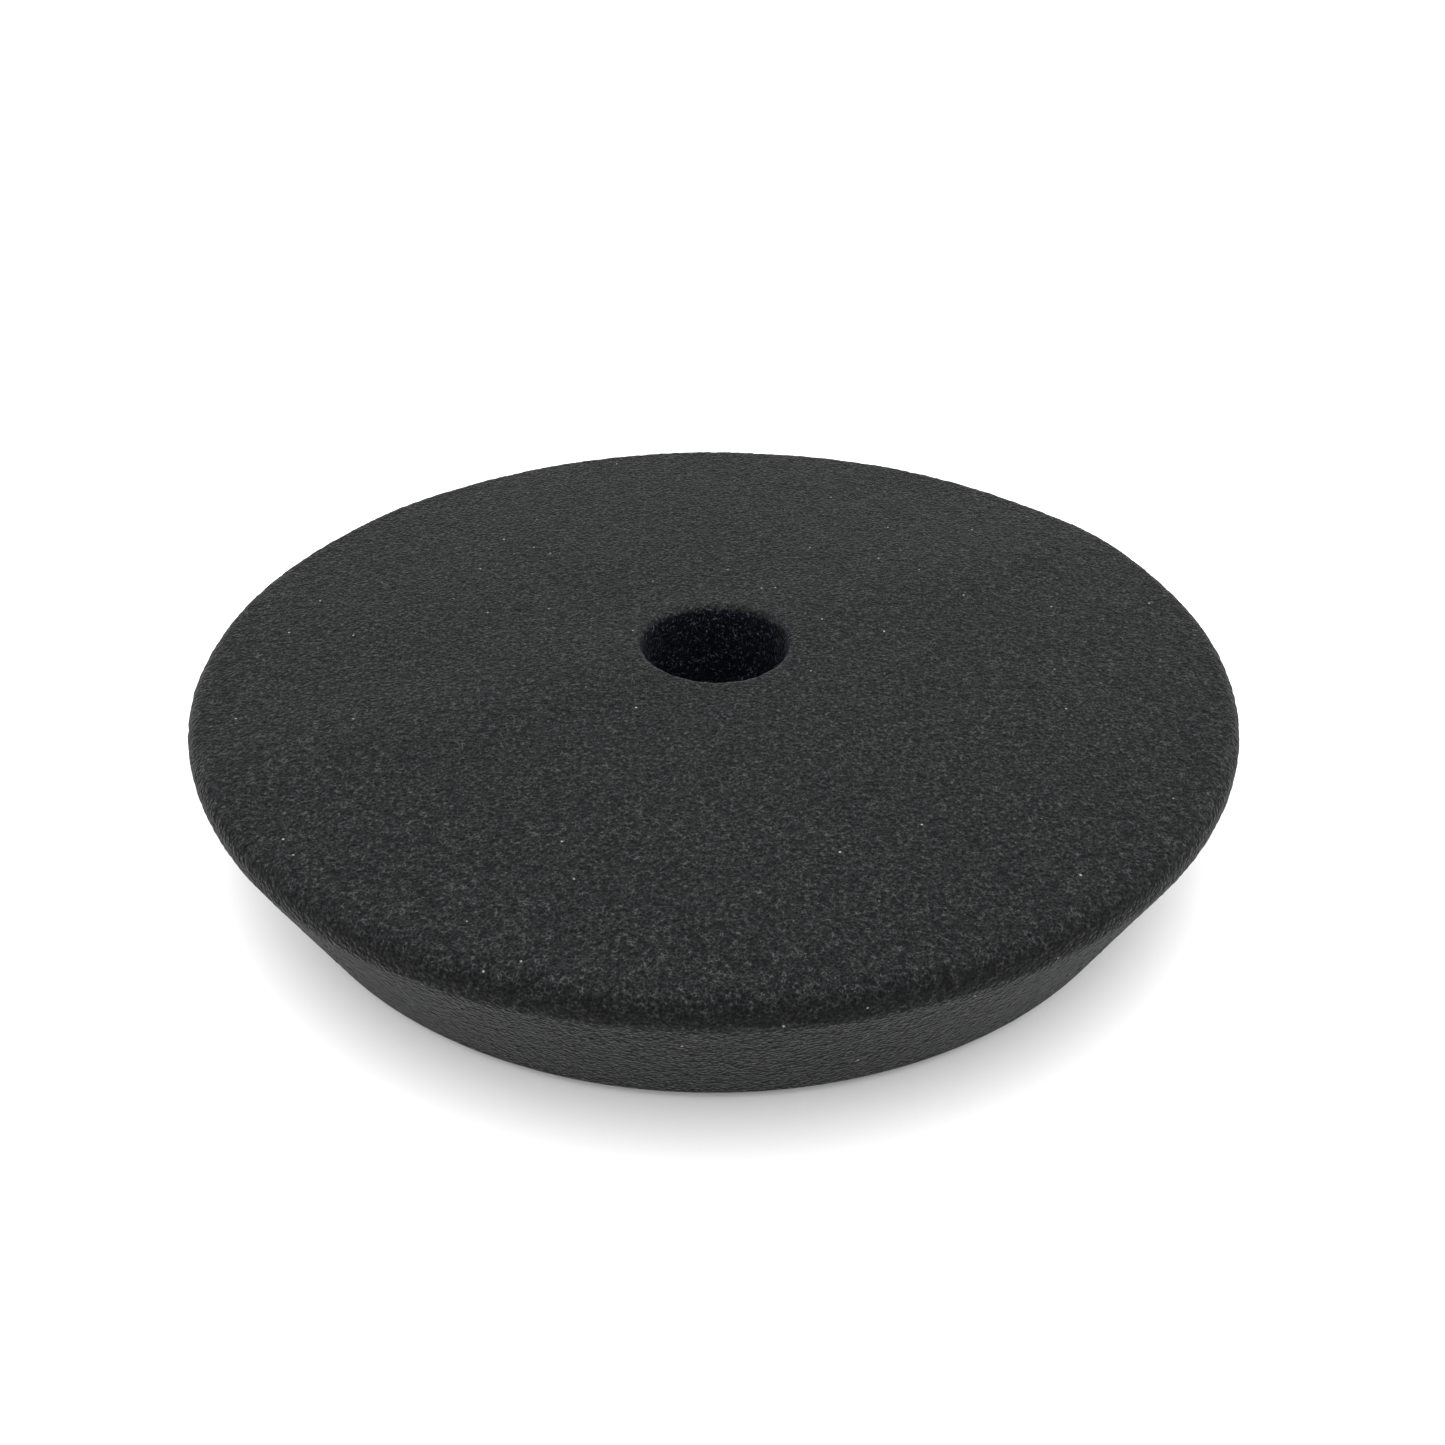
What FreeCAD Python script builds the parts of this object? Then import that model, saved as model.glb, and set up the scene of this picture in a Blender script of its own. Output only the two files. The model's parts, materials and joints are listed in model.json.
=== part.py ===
"""Foam polishing pad for a hook-and-loop backing plate: four bonded layers round one punched bore.

From the bench up: loop pile, knitted ground of the loop fabric, hot-melt adhesive film, foam disc.
The pad lies on its loop side. The origin is at the centre of the loop face and +Z runs along the
bore to the working face. Lengths are millimetres.
"""

import FreeCAD, Part
import Sketcher
import os

# Driving dimensions: name, value, what it is.
DIMENSIONS = [
    ("face_diameter", 150.0, "foam disc across its rim, the nominal size of the pad"),
    ("side_flare", 9.3, "how far the rim stands out past the underside, on the radius"),
    ("foam_thickness", 23.8, "foam disc, underside to working face"),
    ("rim_height", 4.3, "working face down to where the tapered side starts"),
    ("face_edge_radius", 2.4, "round between the working face and the rim"),
    ("rim_lower_radius", 3.0, "round between the rim and the tapered side"),
    ("base_edge_radius", 0.6, "broken edge round the foam's underside"),
    ("bore_diameter", 21.5, "centring bore, punched through every layer"),
    ("bore_edge_radius", 1.4, "soft mouth of the bore in the working face"),
    ("backing_inset", 0.7, "loop fabric's edge inside the foam's underside, on the radius"),
    ("film_thickness", 0.15, "hot-melt adhesive film"),
    ("ground_thickness", 0.35, "knitted ground of the loop fabric"),
    ("pile_height", 1.2, "loop pile standing on the ground"),
    ("pile_edge_radius", 0.4, "loops at the rim of the pile lean back"),
]

# Places that more than one layer is built from, as formulas of the dimensions.
BORE_RADIUS = "bore_diameter / 2"
FOAM_BASE_RADIUS = "face_diameter / 2 - side_flare"
BACKING_RADIUS = f"{FOAM_BASE_RADIUS} - backing_inset"
GROUND_BOTTOM = "pile_height"
FILM_BOTTOM = f"{GROUND_BOTTOM} + ground_thickness"
FOAM_BOTTOM = f"{FILM_BOTTOM} + film_thickness"

SHEET = "Dimensions"
DRAWN_RADIUS = 1.0  # what a circle is drawn at, before the sheet sets it
FULL_TURN = 360.0
MATCH = 1e-4  # how near an edge lies to the place it is looked for


def make_sheet(doc):
    """The spreadsheet that drives every size."""
    sheet = doc.addObject("Spreadsheet::Sheet", SHEET)
    for row, (alias, value, meaning) in enumerate(DIMENSIONS, start=1):
        sheet.set(f"A{row}", alias)
        sheet.set(f"B{row}", str(value))
        sheet.set(f"C{row}", meaning)
        sheet.setAlias(f"B{row}", alias)
    doc.recompute()
    return sheet


def bind(target, prop, formula):
    """Binds a property to the sheet. A word of the formula that is an alias reads its cell."""
    aliases = {alias for alias, _, _ in DIMENSIONS}
    words = [f"{SHEET}.{word}" if word in aliases else word for word in formula.split(" ")]
    target.setExpression(prop, " ".join(words))


def new_body(doc, label, bottom):
    """A body whose own origin is at the centre of its underside, lifted to its place."""
    body = doc.addObject("PartDesign::Body", label)
    body.Label = label
    if bottom:
        bind(body, "Placement.Base.z", bottom)
    return body


def new_sketch(body, name, role):
    """A sketch on one of the body's own origin planes."""
    sketch = body.newObject("Sketcher::SketchObject", name)
    plane = next(f for f in body.Origin.OriginFeatures if f.Role == role)
    sketch.AttachmentSupport = [(plane, "")]
    sketch.MapMode = "FlatFace"
    return sketch


def add_size(sketch, name, formula, *arguments):
    """Adds a sized constraint, names it and binds it to the sheet."""
    constraint = sketch.addConstraint(Sketcher.Constraint(*arguments))
    sketch.renameConstraint(constraint, name)
    bind(sketch, f"Constraints.{name}", formula)


def add_circle(sketch, name, formula):
    """A circle about the sketch's origin with its radius bound to the sheet."""
    circle = Part.Circle(FreeCAD.Vector(0, 0, 0), FreeCAD.Vector(0, 0, 1), DRAWN_RADIUS)
    index = sketch.addGeometry(circle, False)
    sketch.addConstraint(Sketcher.Constraint("Coincident", index, 3, -1, 1))
    add_size(sketch, name, formula, "Radius", index, DRAWN_RADIUS)


def punch_bore(doc, body):
    """Punches the centring bore right through the body."""
    sketch = new_sketch(body, f"{body.Label}_bore_circle", "XY_Plane")
    add_circle(sketch, "bore_radius", BORE_RADIUS)
    before = body.Tip.Shape.Volume
    bore = body.newObject("PartDesign::Pocket", f"{body.Label}_bore")
    bore.Profile = sketch
    bore.Type = "ThroughAll"
    bore.Midplane = True
    doc.recompute()
    if bore.Shape.isNull() or bore.Shape.Volume >= before:
        raise RuntimeError(f"{body.Label}: the bore cut nothing")


def edges_at(shape, radius, height):
    """Names of the shape's round edges about the Z axis at that radius and height."""
    found = []
    for number, edge in enumerate(shape.Edges, start=1):
        if not isinstance(edge.Curve, Part.Circle):
            continue
        same_radius = abs(edge.Curve.Radius - radius) < MATCH
        same_height = abs(edge.Curve.Center.z - height) < MATCH
        if same_radius and same_height:
            found.append(f"Edge{number}")
    return found


def round_edge(doc, body, name, rounding, radius, height):
    """Rounds the body's circular edge at that radius and height. rounding is an alias."""
    picked = edges_at(body.Tip.Shape, radius, height)
    if not picked:
        raise RuntimeError(f"{name}: no edge was found to round")
    base = body.Tip
    fillet = body.newObject("PartDesign::Fillet", name)
    fillet.Base = (base, picked)
    bind(fillet, "Radius", rounding)
    doc.recompute()


def draw_foam_section(body, sheet):
    """Half section of the foam in the XZ plane: underside, tapered side, rim wall, face, axis."""
    sketch = new_sketch(body, "foam_section", "XZ_Plane")
    rim = sheet.face_diameter / 2
    base = rim - sheet.side_flare
    top = sheet.foam_thickness
    shoulder = top - sheet.rim_height
    corners = [(0, 0), (base, 0), (rim, shoulder), (rim, top), (0, top)]
    points = [FreeCAD.Vector(x, y, 0) for x, y in corners]
    for start, end in zip(points, points[1:] + points[:1]):
        sketch.addGeometry(Part.LineSegment(start, end), False)
    lines = len(points)
    for line in range(lines):
        follower = (line + 1) % lines
        sketch.addConstraint(Sketcher.Constraint("Coincident", line, 2, follower, 1))
    underside, side, rim_wall, face, axis = range(lines)
    sketch.addConstraint(Sketcher.Constraint("Coincident", underside, 1, -1, 1))
    sketch.addConstraint(Sketcher.Constraint("Horizontal", underside))
    sketch.addConstraint(Sketcher.Constraint("Vertical", rim_wall))
    sketch.addConstraint(Sketcher.Constraint("Horizontal", face))
    sketch.addConstraint(Sketcher.Constraint("Vertical", axis))
    add_size(
        sketch, "underside_radius", FOAM_BASE_RADIUS,
        "DistanceX", underside, 1, underside, 2, base,
    )
    add_size(sketch, "flare", "side_flare", "DistanceX", side, 1, side, 2, rim - base)
    add_size(sketch, "rim", "rim_height", "DistanceY", rim_wall, 1, rim_wall, 2, top - shoulder)
    add_size(sketch, "thickness", "foam_thickness", "DistanceY", axis, 2, axis, 1, top)
    return sketch


def make_foam_disc(doc, sheet):
    """Foam disc: turned to its section, bored, then rounded at its four edges."""
    body = new_body(doc, "foam_disc", FOAM_BOTTOM)
    sketch = draw_foam_section(body, sheet)
    turned = body.newObject("PartDesign::Revolution", "foam_turned")
    turned.Profile = sketch
    turned.ReferenceAxis = (sketch, ["V_Axis"])
    turned.Angle = FULL_TURN
    doc.recompute()
    punch_bore(doc, body)
    rim = sheet.face_diameter / 2
    base = rim - sheet.side_flare
    top = sheet.foam_thickness
    shoulder = top - sheet.rim_height
    round_edge(doc, body, "face_edge_round", "face_edge_radius", rim, top)
    round_edge(doc, body, "rim_lower_round", "rim_lower_radius", rim, shoulder)
    round_edge(doc, body, "base_edge_round", "base_edge_radius", base, 0)
    round_edge(doc, body, "bore_mouth_round", "bore_edge_radius", sheet.bore_diameter / 2, top)
    return body


def make_backing_layer(doc, label, thickness, bottom):
    """One round layer of the backing, with the bore punched through it."""
    body = new_body(doc, label, bottom)
    sketch = new_sketch(body, f"{label}_outline", "XY_Plane")
    add_circle(sketch, "outline_radius", BACKING_RADIUS)
    layer = body.newObject("PartDesign::Pad", f"{label}_layer")
    layer.Profile = sketch
    bind(layer, "Length", thickness)
    doc.recompute()
    punch_bore(doc, body)
    return body


def make_loop_pile(doc, sheet):
    """Loop pile: the closed outer shape of the standing loops, with its lower rim eased."""
    body = make_backing_layer(doc, "loop_pile", "pile_height", "")
    outline = sheet.face_diameter / 2 - sheet.side_flare - sheet.backing_inset
    round_edge(doc, body, "pile_edge_round", "pile_edge_radius", outline, 0)
    return body


def check_document(doc, bodies):
    """Stops the build if any object failed or any sub-part isn't one sound solid."""
    for obj in doc.Objects:
        if {"Invalid", "Error"} & set(obj.State):
            raise RuntimeError(f"{obj.Label} failed: {obj.State}")
    for body in bodies:
        shape = body.Shape
        if shape.isNull() or not shape.isValid() or len(shape.Solids) != 1:
            raise RuntimeError(f"{body.Label} isn't one valid solid")


def main():
    doc = FreeCAD.newDocument("PolishingPad")
    sheet = make_sheet(doc)
    bodies = [
        make_foam_disc(doc, sheet),
        make_backing_layer(doc, "adhesive_film", "film_thickness", FILM_BOTTOM),
        make_backing_layer(doc, "loop_ground", "ground_thickness", GROUND_BOTTOM),
        make_loop_pile(doc, sheet),
    ]
    doc.recompute()
    check_document(doc, bodies)
    os.makedirs("parts", exist_ok=True)
    for body in bodies:
        body.Shape.exportStep(f"parts/{body.Label}.step")
        box = body.Shape.optimalBoundingBox(False)
        print(
            f"{body.Label}: {box.XLength:.2f} x {box.YLength:.2f} mm, "
            f"z {box.ZMin:.2f} to {box.ZMax:.2f}, {body.Shape.Volume / 1000:.2f} cm3"
        )


main()
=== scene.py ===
import json
import math
import random

import bpy
import numpy as np
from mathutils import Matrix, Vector, noise


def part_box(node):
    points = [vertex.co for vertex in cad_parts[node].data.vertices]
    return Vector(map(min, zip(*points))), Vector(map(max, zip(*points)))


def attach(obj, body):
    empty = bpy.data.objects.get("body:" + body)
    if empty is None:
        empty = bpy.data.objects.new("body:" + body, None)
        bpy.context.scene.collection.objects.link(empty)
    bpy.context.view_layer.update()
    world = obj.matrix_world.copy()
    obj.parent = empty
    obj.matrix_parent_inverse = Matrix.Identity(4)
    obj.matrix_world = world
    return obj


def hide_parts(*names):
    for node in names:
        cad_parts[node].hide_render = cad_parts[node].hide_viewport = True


# Foam polishing pad lying on its loop side: foam disc, hot-melt film, knitted ground, loop pile.
# Everything is in metres, so sizes in millimetres are multiplied by mm.

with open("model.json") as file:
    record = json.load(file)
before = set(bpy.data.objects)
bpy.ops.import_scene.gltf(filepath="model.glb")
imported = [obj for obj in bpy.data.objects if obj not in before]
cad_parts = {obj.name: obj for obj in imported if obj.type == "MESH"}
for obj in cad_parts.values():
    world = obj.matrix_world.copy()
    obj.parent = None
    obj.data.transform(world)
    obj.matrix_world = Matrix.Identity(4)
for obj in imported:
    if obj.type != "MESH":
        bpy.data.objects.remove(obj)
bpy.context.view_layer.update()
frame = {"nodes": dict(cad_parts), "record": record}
mm = 0.001
flush = 0.01 * mm  # heights nearer than this are the same face

foamLow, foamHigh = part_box("foam_disc")
groundLow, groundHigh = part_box("loop_ground")
boreMount = next(m for m in frame["record"]["mounts"] if m["name"] == "centre_bore")
boreRadius = boreMount["dims"]["r_mm"] * mm
faceRadius = foamHigh.x
backingRadius = groundHigh.x


def hexColour(code):
    # sRGB hex to the linear colour that the shaders take
    parts = [int(code[i:i + 2], 16) / 255 for i in (1, 3, 5)]
    linear = [c / 12.92 if c <= 0.04045 else ((c + 0.055) / 1.055) ** 2.4 for c in parts]
    return (*linear, 1.0)


def hexStops(stops):
    return [(place, hexColour(code)) for place, code in stops]


def newMaterial(name):
    material = bpy.data.materials.new(name)
    material.use_nodes = True
    material.node_tree.nodes.clear()
    return material


def addNode(tree, kind, inputs, stops=None, **settings):
    # an input is a plain value, or the node or output that feeds it; stops are a colour ramp's
    node = tree.nodes.new("ShaderNode" + kind)
    for name, value in settings.items():
        setattr(node, name, value)
    for socket, value in inputs.items():
        if isinstance(value, bpy.types.Node):
            value = value.outputs[0]
        if isinstance(value, bpy.types.NodeSocket):
            tree.links.new(value, node.inputs[socket])
        else:
            node.inputs[socket].default_value = value
    if stops:
        ramp = node.color_ramp
        while len(ramp.elements) < len(stops):
            ramp.elements.new(1.0)
        for element, (place, colour) in zip(ramp.elements, stops):
            element.position, element.color = place, colour
    return node


def smoothStep(low, high, value):
    t = np.clip((value - low) / (high - low), 0.0, 1.0)
    return t * t * (3 - 2 * t)


def newPiece(name, points, faces, material):
    mesh = bpy.data.meshes.new(name)
    mesh.from_pydata(points, [], faces)
    mesh.validate()
    mesh.polygons.foreach_set("use_smooth", np.ones(len(mesh.polygons), bool))
    mesh.materials.append(material)
    piece = bpy.data.objects.new(name, mesh)
    bpy.context.scene.collection.objects.link(piece)
    print(f"{name}: {len(mesh.vertices)} points, {len(mesh.polygons)} faces")
    return piece


fewestCuts = 3     # along any rounded corner
fewestPoints = 24  # round any ring


def roundedSection(corners):
    # corners are (r, z, rounding, step): each becomes an arc, and the run after it is cut by its step
    count = len(corners)
    arcs = []
    for i, (r, z, rounding, step) in enumerate(corners):
        here = np.array((r, z))
        before = np.array(corners[i - 1][:2]) - here
        after = np.array(corners[(i + 1) % count][:2]) - here
        before /= np.linalg.norm(before)
        after /= np.linalg.norm(after)
        if rounding == 0:
            arcs.append([here])
            continue
        half = math.acos(np.clip(before @ after, -1, 1)) / 2
        setback = rounding / math.tan(half)
        bisector = (before + after) / np.linalg.norm(before + after)
        middle = here + bisector * rounding / math.sin(half)
        start = here + before * setback - middle
        end = here + after * setback - middle
        turn = math.pi - 2 * half
        cuts = max(fewestCuts, math.ceil(turn * rounding / step))
        shares = [k / cuts for k in range(cuts + 1)]
        arcs.append([
            middle + (math.sin((1 - t) * turn) * start + math.sin(t * turn) * end) / math.sin(turn)
            for t in shares
        ])
    section = []
    for i, arc in enumerate(arcs):
        section.extend(arc)
        run = arcs[(i + 1) % count][0] - arc[-1]
        cuts = max(1, round(float(np.linalg.norm(run)) / corners[i][3]))
        section.extend(arc[-1] + run * k / cuts for k in range(1, cuts))
    return np.array(section)


def zipRings(ringA, ringB):
    # joins two rings of different counts: each triangle takes the next point round,
    # whichever ring it is on
    firstA, countA, startA = ringA
    firstB, countB, startB = ringB
    faces = []
    a = b = 0
    while a < countA or b < countB:
        nextA = startA + 2 * math.pi * (a + 1) / countA
        nextB = startB + 2 * math.pi * (b + 1) / countB
        hereA, hereB = firstA + a % countA, firstB + b % countB
        if b >= countB or (a < countA and nextA <= nextB):
            faces.append((hereA, hereB, firstA + (a + 1) % countA))
            a += 1
        else:
            faces.append((hereA, hereB, firstB + (b + 1) % countB))
            b += 1
    return faces


def turnedMesh(section, spacing, seed):
    # turns a section that runs up the bore, out and down about +Z;
    # spacing(r, z) is the step round a ring
    draw = random.Random(seed)
    tangents = np.roll(section, -1, axis=0) - np.roll(section, 1, axis=0)
    outward = np.stack([-tangents[:, 1], tangents[:, 0]], axis=1)
    outward /= np.linalg.norm(outward, axis=1)[:, None]
    points, normals, rings = [], [], []
    for (r, z), (nr, nz) in zip(section, outward):
        count = max(fewestPoints, round(2 * math.pi * r / spacing(r, z)))
        start = draw.random() * 2 * math.pi / count
        rings.append((len(points), count, start))
        angles = start + 2 * math.pi * np.arange(count) / count
        points.extend(np.stack([r * np.cos(angles), r * np.sin(angles), np.full(count, z)], axis=1))
        normals.extend(np.stack([nr * np.cos(angles), nr * np.sin(angles), np.full(count, nz)], axis=1))
    faces = []
    for i, ring in enumerate(rings):
        faces.extend(zipRings(ring, rings[(i + 1) % len(rings)]))
    return np.array(points), faces, np.array(normals)


foam = {
    "baseRadius": faceRadius - 9.3 * mm,  # underside, where the tapered side ends
    "rimHeight": 4.3 * mm,             # working face down to the start of the taper
    "faceEdgeRound": 2.5 * mm,
    "rimLowerRound": 3.2 * mm,
    "baseRound": 0.6 * mm,
    "mouthRound": 1.3 * mm,
    "gridStep": 0.62 * mm,             # between mesh points where the foam shows
    "hiddenStep": 2.4 * mm,            # and where the film covers it
    "crownStart": 50.0 * mm,           # the face falls away outside this radius
    "crownEnd": 1.25 * faceRadius,     # on a curve that would level out here, past the rim
    "crownDrop": 0.2 * mm,             # by this much at the rim
    "crownLift": 0.2 * mm,             # the middle stands this much proud
    "creaseAngle": math.radians(29),   # shallow ridge that folding left, through the bore
    "creaseHeight": 0.5 * mm,
    "creaseWidth": 11.0 * mm,
    "swell": 0.16 * mm,                # slow unevenness of the cut
    "swellSize": 20.0 * mm,
    "grain": 0.075 * mm,               # uneven cell mouths
    "grainSize": 1.3 * mm,
    "cellSize": 0.50 * mm,
    "cellDepth": 0.10 * mm,
    "cellLip": 0.5,                    # of a cell, from its wall in to its full depth
    "smoothFoot": 1.5 * mm,            # the cells fade out over this height above the film
    "punchedSkin": 0.3 * mm,           # faces this near to the bore's wall have the punched finish
    "seed": 4,
}


def foamSpacing(r, z):
    # coarse over the film, apart from a band inside the rounded base edge
    covered = boreRadius < r < foam["baseRadius"] - 2 * foam["baseRound"]
    hidden = z < foamLow.z + flush and covered
    return foam["hiddenStep"] if hidden else foam["gridStep"]


def shapeFoam(points, normals):
    # the working face is moved up or down as a whole, then the cells are cut along the normals
    radius = np.hypot(points[:, 0], points[:, 1])
    lift = smoothStep(foamLow.z, foamHigh.z - foam["rimHeight"], points[:, 2])
    fall = smoothStep(foam["crownStart"], foam["crownEnd"], radius)
    fallAtRim = smoothStep(foam["crownStart"], foam["crownEnd"], faceRadius)
    across = points[:, 1] * math.cos(foam["creaseAngle"]) - points[:, 0] * math.sin(foam["creaseAngle"])
    crease = np.exp(-(across / foam["creaseWidth"]) ** 2)
    shift = foam["crownLift"] + foam["creaseHeight"] * crease - foam["crownDrop"] * fall / fallAtRim
    free = smoothStep(foamLow.z, foamLow.z + foam["smoothFoot"], points[:, 2])
    rough = np.zeros(len(points))
    for i in np.flatnonzero(free):
        place = Vector(points[i])
        distances, _ = noise.voronoi(place / foam["cellSize"])
        # 0 on a cell wall, 1 well inside
        inside = min(distances[1] - distances[0], foam["cellLip"]) / foam["cellLip"]
        rough[i] = (
            foam["swell"] * noise.noise(place / foam["swellSize"])
            + foam["grain"] * noise.noise(place / foam["grainSize"])
            - foam["cellDepth"] * inside
        )
    moved = points + normals * (rough * free)[:, None]
    moved[:, 2] += shift * lift
    return moved


def makeFoam():
    top, bottom, fine = foamHigh.z, foamLow.z, foam["gridStep"]
    section = roundedSection([
        (boreRadius, bottom, 0, fine),
        (boreRadius, top, foam["mouthRound"], fine),
        (faceRadius, top, foam["faceEdgeRound"], fine),
        (faceRadius, top - foam["rimHeight"], foam["rimLowerRound"], fine),
        (foam["baseRadius"], bottom, foam["baseRound"], foam["hiddenStep"]),
    ])
    points, faces, normals = turnedMesh(section, foamSpacing, foam["seed"])
    surface = openCellFoam("openCellPolyurethane", foamLook["fuzz"])
    piece = newPiece("foam_pad", shapeFoam(points, normals), faces, surface)
    piece.data.materials.append(openCellFoam("punchedPolyurethane", foamLook["boreFuzz"]))
    for face in piece.data.polygons:
        if math.hypot(face.center.x, face.center.y) < boreRadius + foam["punchedSkin"]:
            face.material_index = 1
    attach(piece, "root")
    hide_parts("foam_disc")


foamLook = {
    # shades by height: pore, membrane, cell wall, cut wall
    "cutStops": [(0.24, "#08080a"), (0.44, "#131415"), (0.64, "#222323"), (0.87, "#474848")],
    # and in the bore, as painted shade: pore, wall, painted glint
    "boreShadeStops": [(0.48, "#020306"), (0.64, "#06080d"), (0.82, "#4c5668")],
    # painted glints: sparse light specks put into the colour
    "glint": "#8f8f8b",
    "glintSpacing": 4.5 * mm,
    "glintEdge": (0.02, 0.045),  # of the spacing, where a glint starts to fade and where it ends
    "wobble": 0.9,               # of a cell, the most that its outline is pushed out of shape
    "wobbleRate": 0.7,           # swirls of that push to a cell
    "wallShare": 0.20,           # of a cell, from its edge inwards
    "wallLift": 0.26,            # the lifts are shares of the height and add up to 1
    "windowSize": 0.26 * mm,     # openings from one cell into the next
    "windowShare": 0.25,
    "windowLift": 0.12,
    "cellLift": 0.22,            # each cell was cut at its own depth
    "rubSize": 0.60 * mm,        # patches where grinding opened or closed the cells
    "rubRange": (0.36, 0.64),    # of the noise, from opened to closed
    "rubLift": 0.40,
    "pitSize": 0.60 * mm,        # from one open cell mouth to the next
    "pitDepth": 0.24 * mm,
    "specular": 0.08,
    "fuzz": 0.086,
    "boreFuzz": 0.02,            # a punch leaves no raised fuzz
    "fuzzRoughness": 0.26,
    "boreShadeEdge": (0.1 * mm, 0.45 * mm),  # outside the bore's wall, where its painted shade starts to fade and ends
    "rimPaintedShade": 0.55,            # painted shade: the rim's upright wall is painted this much darker than the rest
    "rimShadeEdge": (1.1 * mm, 0.2 * mm),    # inside the rim, where its painted shade starts and where it is full
    "rimShadeFoot": 1.0 * mm,         # and the height over the taper by which it is full
}


def openCellFoam(name, fuzz):
    # Ether polyurethane, black, open cell, sliced from a block and ground to its taper. Cut cell walls
    # are lighter round dark mouths, so it reads as fine matt grain, with a few painted glints; the bore and
    # the rim's upright wall carry painted shade.
    material = newMaterial(name)
    tree = material.node_tree
    size = foam["cellSize"]
    coords = addNode(tree, "TexCoord", {}).outputs["Object"]
    wobble = addNode(tree, "TexNoise", {"Vector": coords, "Scale": foamLook["wobbleRate"] / size,
                                        "Detail": 2.0})
    push = (foamLook["wobble"] * size,) * 3
    place = addNode(tree, "VectorMath", {0: wobble.outputs["Color"], 1: push, 2: coords},
                    operation="MULTIPLY_ADD")
    cells = addNode(tree, "TexVoronoi", {"Vector": place, "Scale": 1 / size}, feature="DISTANCE_TO_EDGE")
    lots = addNode(tree, "TexVoronoi", {"Vector": place, "Scale": 1 / size})
    windows = addNode(tree, "TexVoronoi", {"Vector": place, "Scale": 1 / foamLook["windowSize"]},
                      feature="DISTANCE_TO_EDGE")
    patches = addNode(tree, "TexNoise", {"Vector": coords, "Scale": 1 / foamLook["rubSize"],
                                         "Detail": 4.0, "Roughness": 0.75})
    # how far each spot stands up, from 0 to 1: cell walls, window rims, the cell's own depth, grinding
    wall = addNode(tree, "MapRange", {"Value": cells, "From Max": foamLook["wallShare"],
                                      "To Min": foamLook["wallLift"], "To Max": 0.0})
    window = addNode(tree, "MapRange", {"Value": windows, "From Max": foamLook["windowShare"],
                                        "To Min": foamLook["windowLift"], "To Max": 0.0})
    depth = addNode(tree, "MapRange", {"Value": lots.outputs["Color"], "To Max": foamLook["cellLift"]})
    opened, closed = foamLook["rubRange"]
    rub = addNode(tree, "MapRange", {"Value": patches, "From Min": opened, "From Max": closed,
                                     "To Max": foamLook["rubLift"]})
    walls = addNode(tree, "Math", {0: wall, 1: window})
    uneven = addNode(tree, "Math", {0: depth, 1: rub})
    height = addNode(tree, "Math", {0: walls, 1: uneven})
    cut = addNode(tree, "ValToRGB", {"Fac": height}, stops=hexStops(foamLook["cutStops"]))
    # painted glints: sparse light specks mixed into the cell colour
    paintedGlintCells = addNode(tree, "TexVoronoi", {"Vector": coords, "Scale": 1 / foamLook["glintSpacing"]})
    fade, end = foamLook["glintEdge"]
    paintedGlintMask = addNode(tree, "MapRange", {"Value": paintedGlintCells, "From Min": fade, "From Max": end,
                                       "To Min": 1.0, "To Max": 0.0})
    # a colour mix has its factor at 0 and its colours at 6 and 7, and gives its colour at 2
    withPaintedGlints = addNode(tree, "Mix", {0: paintedGlintMask, 6: cut, 7: hexColour(foamLook["glint"])}, data_type="RGBA")
    # painted shade: the bore's punched wall is painted nearly black, with painted glints on only the
    # highest cell walls
    level = addNode(tree, "VectorMath", {0: coords, 1: (1.0, 1.0, 0.0)}, operation="MULTIPLY")
    radius = addNode(tree, "VectorMath", {0: level}, operation="LENGTH").outputs["Value"]
    punched = addNode(tree, "ValToRGB", {"Fac": height}, stops=hexStops(foamLook["boreShadeStops"]))
    near, far = foamLook["boreShadeEdge"]
    bore = addNode(tree, "MapRange", {"Value": radius, "From Min": boreRadius + near,
                                      "From Max": boreRadius + far})
    face = addNode(tree, "Mix", {0: bore, 6: punched, 7: withPaintedGlints.outputs[2]}, data_type="RGBA")
    # painted shade: the rim's upright wall is painted darker than the face above it and the tapered side
    # below it
    up = addNode(tree, "SeparateXYZ", {0: coords}).outputs["Z"]
    shoulder = foamHigh.z - foam["rimHeight"]
    start, full = foamLook["rimShadeEdge"]
    outer = addNode(tree, "MapRange", {"Value": radius, "From Min": faceRadius - start,
                                       "From Max": faceRadius - full})
    upright = addNode(tree, "MapRange", {"Value": up, "From Min": shoulder,
                                         "From Max": shoulder + foamLook["rimShadeFoot"]})
    rim = addNode(tree, "Math", {0: outer, 1: upright}, operation="MULTIPLY")
    shade = addNode(tree, "MapRange", {"Value": rim, "To Min": 1.0, "To Max": foamLook["rimPaintedShade"]})
    colour = addNode(tree, "VectorMath", {0: face.outputs[2], "Scale": shade}, operation="SCALE")
    pits = addNode(tree, "TexVoronoi", {"Vector": coords, "Scale": 1 / foamLook["pitSize"]})
    bump = addNode(tree, "Bump", {"Distance": foamLook["pitDepth"], "Height": pits})
    shader = addNode(tree, "BsdfPrincipled", {
        "Base Color": colour, "Normal": bump, "Roughness": 0.8, "IOR": 1.5,
        "Specular IOR Level": foamLook["specular"],
        "Sheen Weight": fuzz, "Sheen Roughness": foamLook["fuzzRoughness"],
    })
    addNode(tree, "OutputMaterial", {"Surface": shader})
    return material


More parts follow.
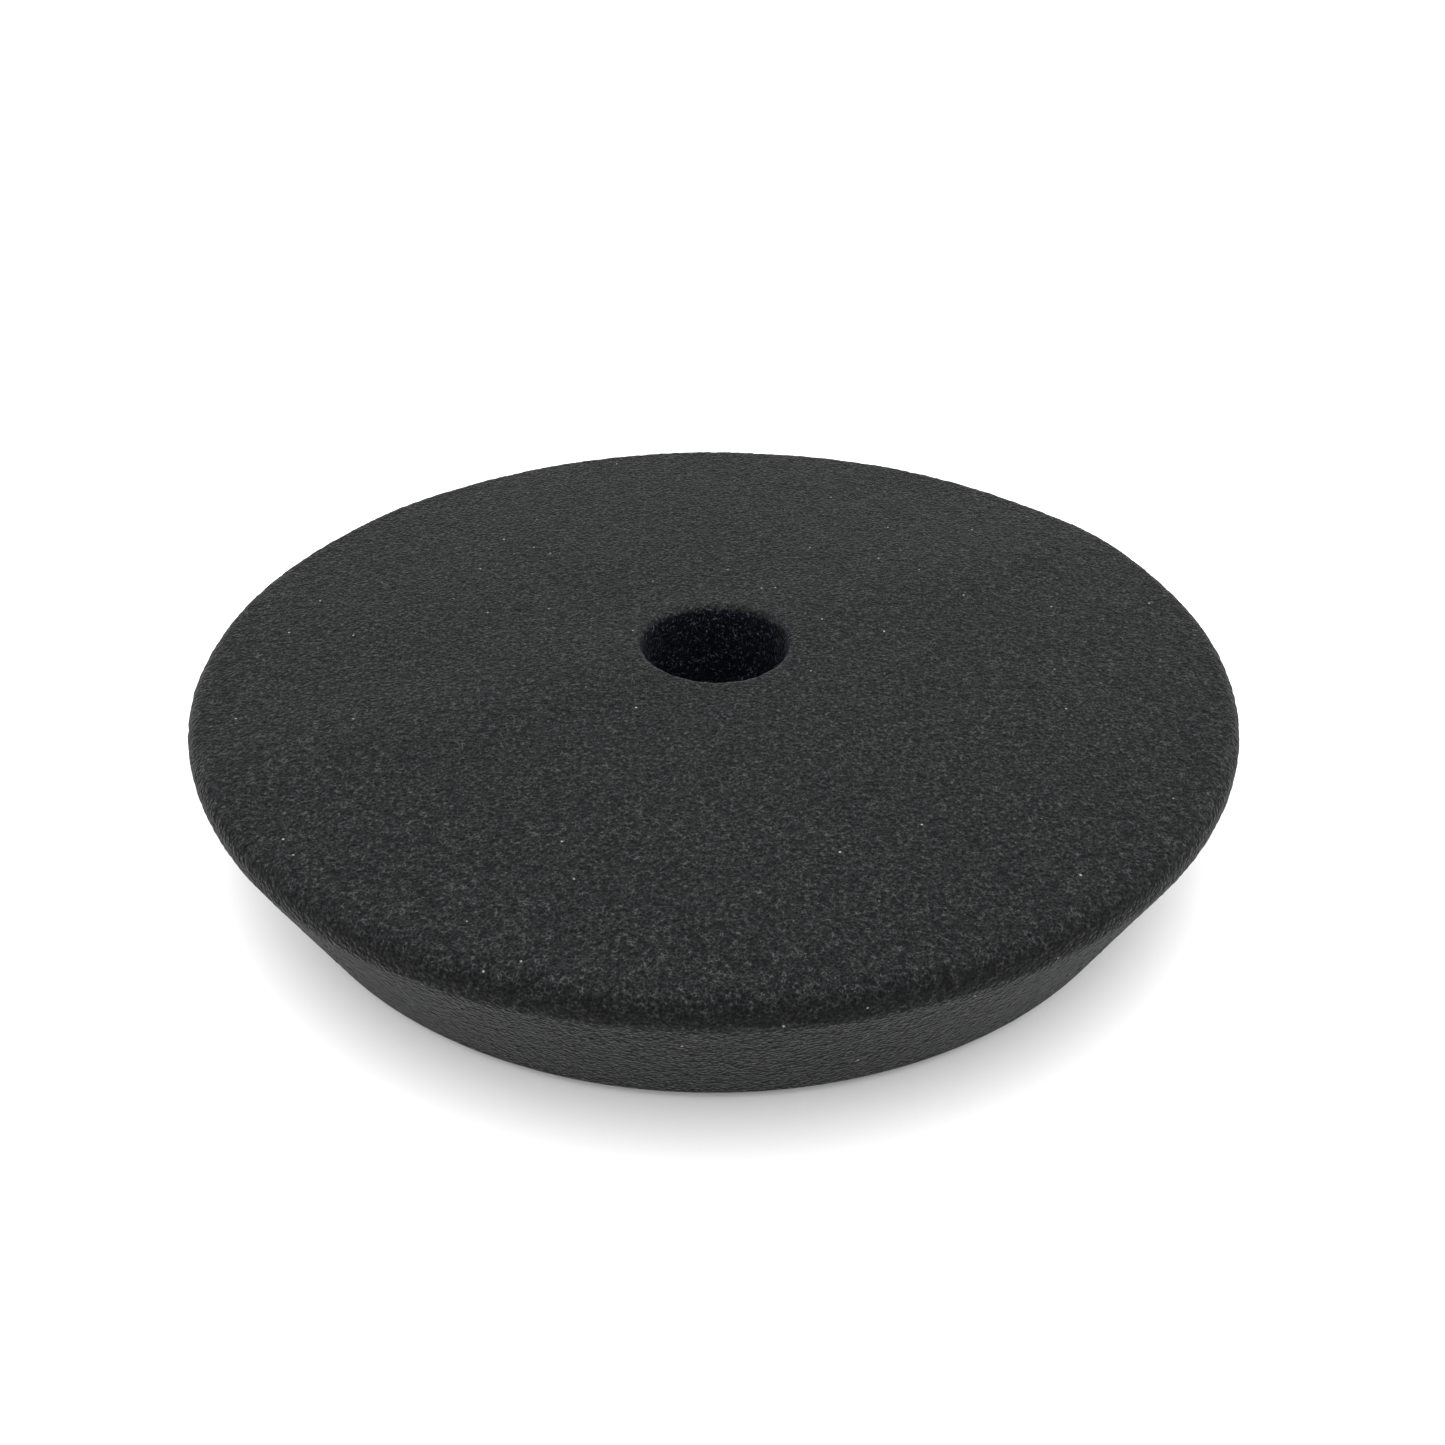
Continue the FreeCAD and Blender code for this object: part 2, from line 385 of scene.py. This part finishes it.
filmLook = {
    "flowSize": 6.0 * mm,       # where it ran while hot
    "flowStops": [(0.35, "#0a0a0b"), (0.65, "#17161a")],  # stained to clear
    "flowRange": (0.3, 0.7),    # of the noise, over which it goes from glossy to dull
    "roughness": (0.32, 0.5),
    "printSize": 0.9 * mm,      # foam cells pressed into it
    "printDepth": 0.05 * mm,
}


def hotMeltFilm():
    # Thermoplastic polyurethane film, melted and rolled between foam and fabric. It takes the print
    # of the cells and keeps a dull gloss, so its cut edge is a thin dark line with soft highlights.
    material = newMaterial("hotMeltPolyurethane")
    tree = material.node_tree
    coords = addNode(tree, "TexCoord", {}).outputs["Object"]
    cells = addNode(tree, "TexVoronoi", {"Vector": coords, "Scale": 1 / filmLook["printSize"]},
                    feature="SMOOTH_F1")
    flow = addNode(tree, "TexNoise", {"Vector": coords, "Scale": 1 / filmLook["flowSize"], "Detail": 4.0})
    colour = addNode(tree, "ValToRGB", {"Fac": flow}, stops=hexStops(filmLook["flowStops"]))
    low, high = filmLook["flowRange"]
    glossy, dull = filmLook["roughness"]
    gloss = addNode(tree, "MapRange", {"Value": flow, "From Min": low, "From Max": high,
                                       "To Min": glossy, "To Max": dull})
    bump = addNode(tree, "Bump", {"Distance": filmLook["printDepth"], "Height": cells})
    shader = addNode(tree, "BsdfPrincipled", {
        "Base Color": colour, "Roughness": gloss, "Normal": bump, "IOR": 1.5,
    })
    addNode(tree, "OutputMaterial", {"Surface": shader})
    return material


def finishFilm():
    film = frame["nodes"]["adhesive_film"]
    film.data.materials.clear()
    film.data.materials.append(hotMeltFilm())
    print("adhesive_film: finished as hot-melt film")


ground = {
    "gridStep": 0.62 * mm,      # between mesh points where the ground shows
    "hiddenStep": 2.4 * mm,     # and where the film covers it
    "hiddenMargin": 0.5 * mm,   # kept fine along the outer edge
    "facing": 0.9,              # a normal tilted further up or down than this is on a flat face
    "rowSpacing": 1.6 * mm,     # knitted rows, drawn about twice as far apart as real ones
    "rowDepth": 0.09 * mm,
    "creep": 0.05 * mm,         # slow unevenness
    "creepSize": 7.0 * mm,
    "edgeFray": 0.25 * mm,      # die-cut edge
    "frayShift": 0.5,           # of that, how far inwards its middle lies
    "fraySize": 1.1 * mm,
    "flatWidth": 2 * backingRadius,
    "seed": 9,
}


def groundSpacing(r, z):
    covered = boreRadius < r < backingRadius - ground["hiddenMargin"]
    hidden = z > groundHigh.z - flush and covered
    return ground["hiddenStep"] if hidden else ground["gridStep"]


def shapeGround(points, normals):
    # rows stand down from the lower face only, so the upper face stays flat on the film
    lower = normals[:, 2] < -ground["facing"]
    edge = np.abs(normals[:, 2]) < ground["facing"]
    shift = np.zeros(len(points))
    for i in np.flatnonzero(lower | edge):
        place = Vector(points[i])
        if lower[i]:
            row = 0.5 - 0.5 * math.cos(2 * math.pi * place.x / ground["rowSpacing"])
            shift[i] = ground["creep"] * noise.noise(place / ground["creepSize"]) - ground["rowDepth"] * row
        else:
            fray = noise.noise(place / ground["fraySize"]) - ground["frayShift"]
            shift[i] = ground["edgeFray"] * fray
    return points + normals * shift[:, None]


def makeGround():
    top, bottom, fine = groundHigh.z, groundLow.z, ground["gridStep"]
    section = roundedSection([
        (boreRadius, bottom, 0, fine),
        (boreRadius, top, 0, ground["hiddenStep"]),
        (backingRadius, top, 0, fine),
        (backingRadius, bottom, 0, fine),
    ])
    points, faces, normals = turnedMesh(section, groundSpacing, ground["seed"])
    piece = newPiece("knit_ground", shapeGround(points, normals), faces, warpKnitNylon())
    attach(piece, "root")
    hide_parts("loop_ground")


knitLook = {
    "stitchStops": [(0.15, "#050506"), (0.75, "#1d1d1f")],  # gap to yarn
    "stitchWidth": 0.8 * mm,    # real ones are nearer 0.4 mm
    "stitchHeight": 0.6 * mm,
    "fuzzSize": 0.2 * mm,       # stray filaments, drawn in bundles coarser than real ones
    "fuzzShare": 0.35,          # of a stitch's height
    "bumpDepth": 0.12 * mm,
}


def warpKnitNylon():
    # Nylon warp knit, dyed black. Ranks of small slanted stitches with dark gaps give it a
    # regular ribbed weave under the loops.
    material = newMaterial("warpKnitNylon")
    tree = material.node_tree
    coords = addNode(tree, "TexCoord", {}).outputs["Object"]
    band = math.pi / 10  # a wave texture's bands repeat at this spacing when its scale is 1
    wales = addNode(tree, "TexWave", {"Vector": coords, "Scale": band / knitLook["stitchWidth"],
                                      "Distortion": 0.6, "Detail Scale": 2.0}, bands_direction="X")
    courses = addNode(tree, "TexWave", {"Vector": coords, "Scale": band / knitLook["stitchHeight"],
                                        "Distortion": 1.2, "Detail Scale": 3.0}, bands_direction="Y")
    stitch = addNode(tree, "Math", {0: wales, 1: courses}, operation="MULTIPLY")
    fuzz = addNode(tree, "TexNoise", {"Vector": coords, "Scale": 1 / knitLook["fuzzSize"], "Detail": 3.0})
    height = addNode(tree, "Math", {0: fuzz, 1: knitLook["fuzzShare"], 2: stitch}, operation="MULTIPLY_ADD")
    colour = addNode(tree, "ValToRGB", {"Fac": height}, stops=hexStops(knitLook["stitchStops"]))
    bump = addNode(tree, "Bump", {"Distance": knitLook["bumpDepth"], "Height": height})
    shader = addNode(tree, "BsdfPrincipled", {
        "Base Color": colour, "Normal": bump, "Roughness": 0.7, "IOR": 1.5,
        "Specular IOR Level": 0.3, "Sheen Weight": 0.15, "Sheen Roughness": 0.4,
    })
    addNode(tree, "OutputMaterial", {"Surface": shader})
    return material


pile = {
    "spacing": 1.6 * mm,        # between loops, drawn about twice as coarse as real ones
    "rootShift": (0.15, 0.25),  # of the spacing, how far a root is off its place in x and in y
    "yarnRadius": 0.19 * mm,
    "halfWidth": (0.45 * mm, 0.75 * mm),
    "bulge": 0.3,               # a loop swells between its feet and its crown
    "crownPower": 0.8,          # below 1 the crown is flatter than a half circle's
    "lowest": (0.03 * mm, 0.35 * mm),  # clearance of a loop's crown over the bench
    "rootDepth": 0.12 * mm,     # each foot is this far into the ground
    "headingSpread": 0.6,       # radians either side of the knitted rows
    "nap": (0.35 * mm, 0.15 * mm),     # the way that the loops lean as a whole
    "leanSpread": 0.25 * mm,
    "edgeRoom": 1.15 * mm,      # rows of roots keep clear of the cut edges
    "edgeGap": 1.1 * mm,        # and no loop leans nearer to them than this
    "rimInset": 1.3 * mm,       # one closer row stands round the outer edge
    "rimSpacing": 1.25 * mm,
    "rimShift": 0.3,            # of that spacing, how far a root of that row is off its place
    "segments": 6,
    "sides": 3,
    "seed": 21,
}


def pileRoots(draw):
    # rows of roots, every other row half a step along, each a little off its place,
    # then the rim's own row
    step = pile["spacing"]
    shiftX, shiftY = pile["rootShift"]
    rimShift = pile["rimShift"]
    reach = math.ceil(backingRadius / step)
    roots = []
    for row in range(-reach, reach + 1):
        for column in range(-reach, reach + 1):
            x = (row + 0.5) * step + draw.uniform(-shiftX, shiftX) * step
            y = (column + row % 2 / 2) * step + draw.uniform(-shiftY, shiftY) * step
            if boreRadius + pile["edgeRoom"] < math.hypot(x, y) < backingRadius - pile["edgeRoom"]:
                roots.append((x, y))
    rimRadius = backingRadius - pile["rimInset"]
    count = round(2 * math.pi * rimRadius / pile["rimSpacing"])
    for k in range(count):
        angle = 2 * math.pi * (k + draw.uniform(-rimShift, rimShift)) / count
        roots.append((rimRadius * math.cos(angle), rimRadius * math.sin(angle)))
    return roots


def yarnLoop(root, draw):
    # one loop as a tube: down from the ground, over its crown and back up
    x, y = root
    heading = draw.gauss(math.pi / 2, pile["headingSpread"])
    halfWidth = draw.uniform(*pile["halfWidth"])
    top = groundLow.z + pile["rootDepth"]
    low = draw.uniform(*pile["lowest"]) + pile["yarnRadius"]
    lean = [n + draw.gauss(0, pile["leanSpread"]) for n in pile["nap"]]
    t = np.linspace(0, math.pi, pile["segments"] + 1)
    along = -np.cos(t) * (1 + pile["bulge"] * np.sin(t)) * halfWidth
    hang = np.sin(t) ** pile["crownPower"]
    line = np.stack([
        x + along * math.cos(heading) + lean[0] * hang,
        y + along * math.sin(heading) + lean[1] * hang,
        top - (top - low) * hang,
    ], axis=1)
    reach = np.hypot(line[:, 0], line[:, 1])
    kept = np.clip(reach, boreRadius + pile["edgeGap"], backingRadius - pile["edgeGap"])
    line[:, :2] *= (kept / reach)[:, None]
    tangent = np.gradient(line, axis=0)
    tangent /= np.linalg.norm(tangent, axis=1)[:, None]
    side = np.tile((-math.sin(heading), math.cos(heading), 0.0), (len(line), 1))
    side -= tangent * np.sum(side * tangent, axis=1)[:, None]
    side /= np.linalg.norm(side, axis=1)[:, None]
    up = np.cross(tangent, side)
    turns = 2 * math.pi * np.arange(pile["sides"]) / pile["sides"]
    rings = [
        centre + pile["yarnRadius"] * (np.cos(turns)[:, None] * s + np.sin(turns)[:, None] * u)
        for centre, s, u in zip(line, side, up)
    ]
    return np.concatenate(rings)


def makePile():
    draw = random.Random(pile["seed"])
    roots = pileRoots(draw)
    sides, segments = pile["sides"], pile["segments"]
    loopFaces = [tuple(reversed(range(sides)))]
    for ring in range(segments):
        here, ahead = ring * sides, (ring + 1) * sides
        for k in range(sides):
            nextSide = (k + 1) % sides
            loopFaces.append((here + k, here + nextSide, ahead + nextSide, ahead + k))
    loopFaces.append(tuple(range(segments * sides, (segments + 1) * sides)))
    points, faces = [], []
    for root in roots:
        first = len(points)
        points.extend(yarnLoop(root, draw))
        faces.extend(tuple(first + index for index in face) for face in loopFaces)
    piece = newPiece("loop_yarn_pile", points, faces, nylonYarn())
    print(f"loop_yarn_pile: {len(roots)} loops")
    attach(piece, "root")
    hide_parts("loop_pile")


yarnLook = {
    "strandStops": [(0.55, "#0b0b0c"), (0.95, "#262628")],  # shade to filament
    "filamentSize": 0.12 * mm,  # bundles of filaments, since single ones are too fine to show
    "streakStretch": 4.0,       # how many times longer they run down the pile than across it
    "bumpDepth": 0.04 * mm,
    "dyeSize": 9.0 * mm,
    "dyeShare": 0.5,            # of a strand's own contrast
}


def nylonYarn():
    # Textured nylon filament yarn, dyed black and napped. Fine streaks and a soft sheen along each
    # loop give the pile a brushed look.
    material = newMaterial("texturedNylonYarn")
    tree = material.node_tree
    coords = addNode(tree, "TexCoord", {}).outputs["Object"]
    streak = (1.0, 1.0, 1 / yarnLook["streakStretch"])
    stretched = addNode(tree, "Mapping", {"Vector": coords, "Scale": streak})
    strands = addNode(tree, "TexNoise", {"Vector": stretched, "Scale": 1 / yarnLook["filamentSize"],
                                         "Detail": 2.0})
    dye = addNode(tree, "TexNoise", {"Vector": coords, "Scale": 1 / yarnLook["dyeSize"], "Detail": 2.0})
    mixed = addNode(tree, "Math", {0: dye, 1: yarnLook["dyeShare"], 2: strands}, operation="MULTIPLY_ADD")
    colour = addNode(tree, "ValToRGB", {"Fac": mixed}, stops=hexStops(yarnLook["strandStops"]))
    bump = addNode(tree, "Bump", {"Distance": yarnLook["bumpDepth"], "Height": strands})
    shader = addNode(tree, "BsdfPrincipled", {
        "Base Color": colour, "Normal": bump, "Roughness": 0.5, "IOR": 1.53,
        "Specular IOR Level": 0.4, "Sheen Weight": 0.2, "Sheen Roughness": 0.35,
    })
    addNode(tree, "OutputMaterial", {"Surface": shader})
    return material


view = {
    "distance": 2.85 * faceRadius,   # camera to the middle of the working face
    "height": math.radians(30.0),    # looking down on it
    "tiltDown": math.radians(3.13),  # and aimed a little below it
    "turnRight": math.radians(0.36),
    "focal": 35.875,
    "sensorWidth": 36.0,
    "clipStart": 5 * mm,
}


def placeCamera():
    data = bpy.data.cameras.new("camera")
    data.lens = view["focal"]
    data.sensor_width = view["sensorWidth"]
    data.clip_start = view["clipStart"]
    camera = bpy.data.objects.new("camera", data)
    bpy.context.scene.collection.objects.link(camera)
    back = view["distance"] * math.cos(view["height"])
    up = view["distance"] * math.sin(view["height"])
    camera.location = (0, -back, foamHigh.z + up)
    camera.rotation_euler = (math.pi / 2 - view["height"] - view["tiltDown"], 0, -view["turnRight"])
    bpy.context.scene.camera = camera
    print("camera: placed")


studio = {
    "floorSize": 8.0,
    "floorShade": "#f4f4f4",
    # the dome's brightness by the sine of the height over the horizon
    "dome": [(0.0, 1.6), (0.12, 1.6), (0.25, 1.22), (0.55, 1.22), (0.75, 2.2), (0.9, 3.15)],
}


def makeFloor():
    # white seamless paper, matt enough to show only the pad's soft shadow
    material = newMaterial("seamlessPaper")
    tree = material.node_tree
    shader = addNode(tree, "BsdfPrincipled", {
        "Base Color": hexColour(studio["floorShade"]), "Roughness": 0.9, "Specular IOR Level": 0.2,
    })
    addNode(tree, "OutputMaterial", {"Surface": shader})
    half = studio["floorSize"] / 2
    corners = [(-half, -half, 0), (half, -half, 0), (half, half, 0), (-half, half, 0)]
    newPiece("floor", corners, [(0, 1, 2, 3)], material)


def lightStudio():
    # a soft dome: brightest overhead, dimmest low down and a little brighter at the horizon
    world = bpy.data.worlds.new("studio")
    world.use_nodes = True
    tree = world.node_tree
    tree.nodes.clear()
    direction = addNode(tree, "TexCoord", {}).outputs["Generated"]
    height = addNode(tree, "SeparateXYZ", {"Vector": direction}).outputs["Z"]
    peak = max(level for _, level in studio["dome"])
    shade = addNode(tree, "ValToRGB", {"Fac": height},
                    stops=[(place, (level / peak,) * 3 + (1.0,)) for place, level in studio["dome"]])
    sky = addNode(tree, "Background", {"Color": shade, "Strength": peak})
    addNode(tree, "OutputWorld", {"Surface": sky})
    bpy.context.scene.world = world
    print("studio: floor and dome light")


placeCamera()
makeFloor()
lightStudio()
makeFoam()
finishFilm()
makePile()
makeGround()

bpy.context.scene.view_settings.view_transform = "Standard"
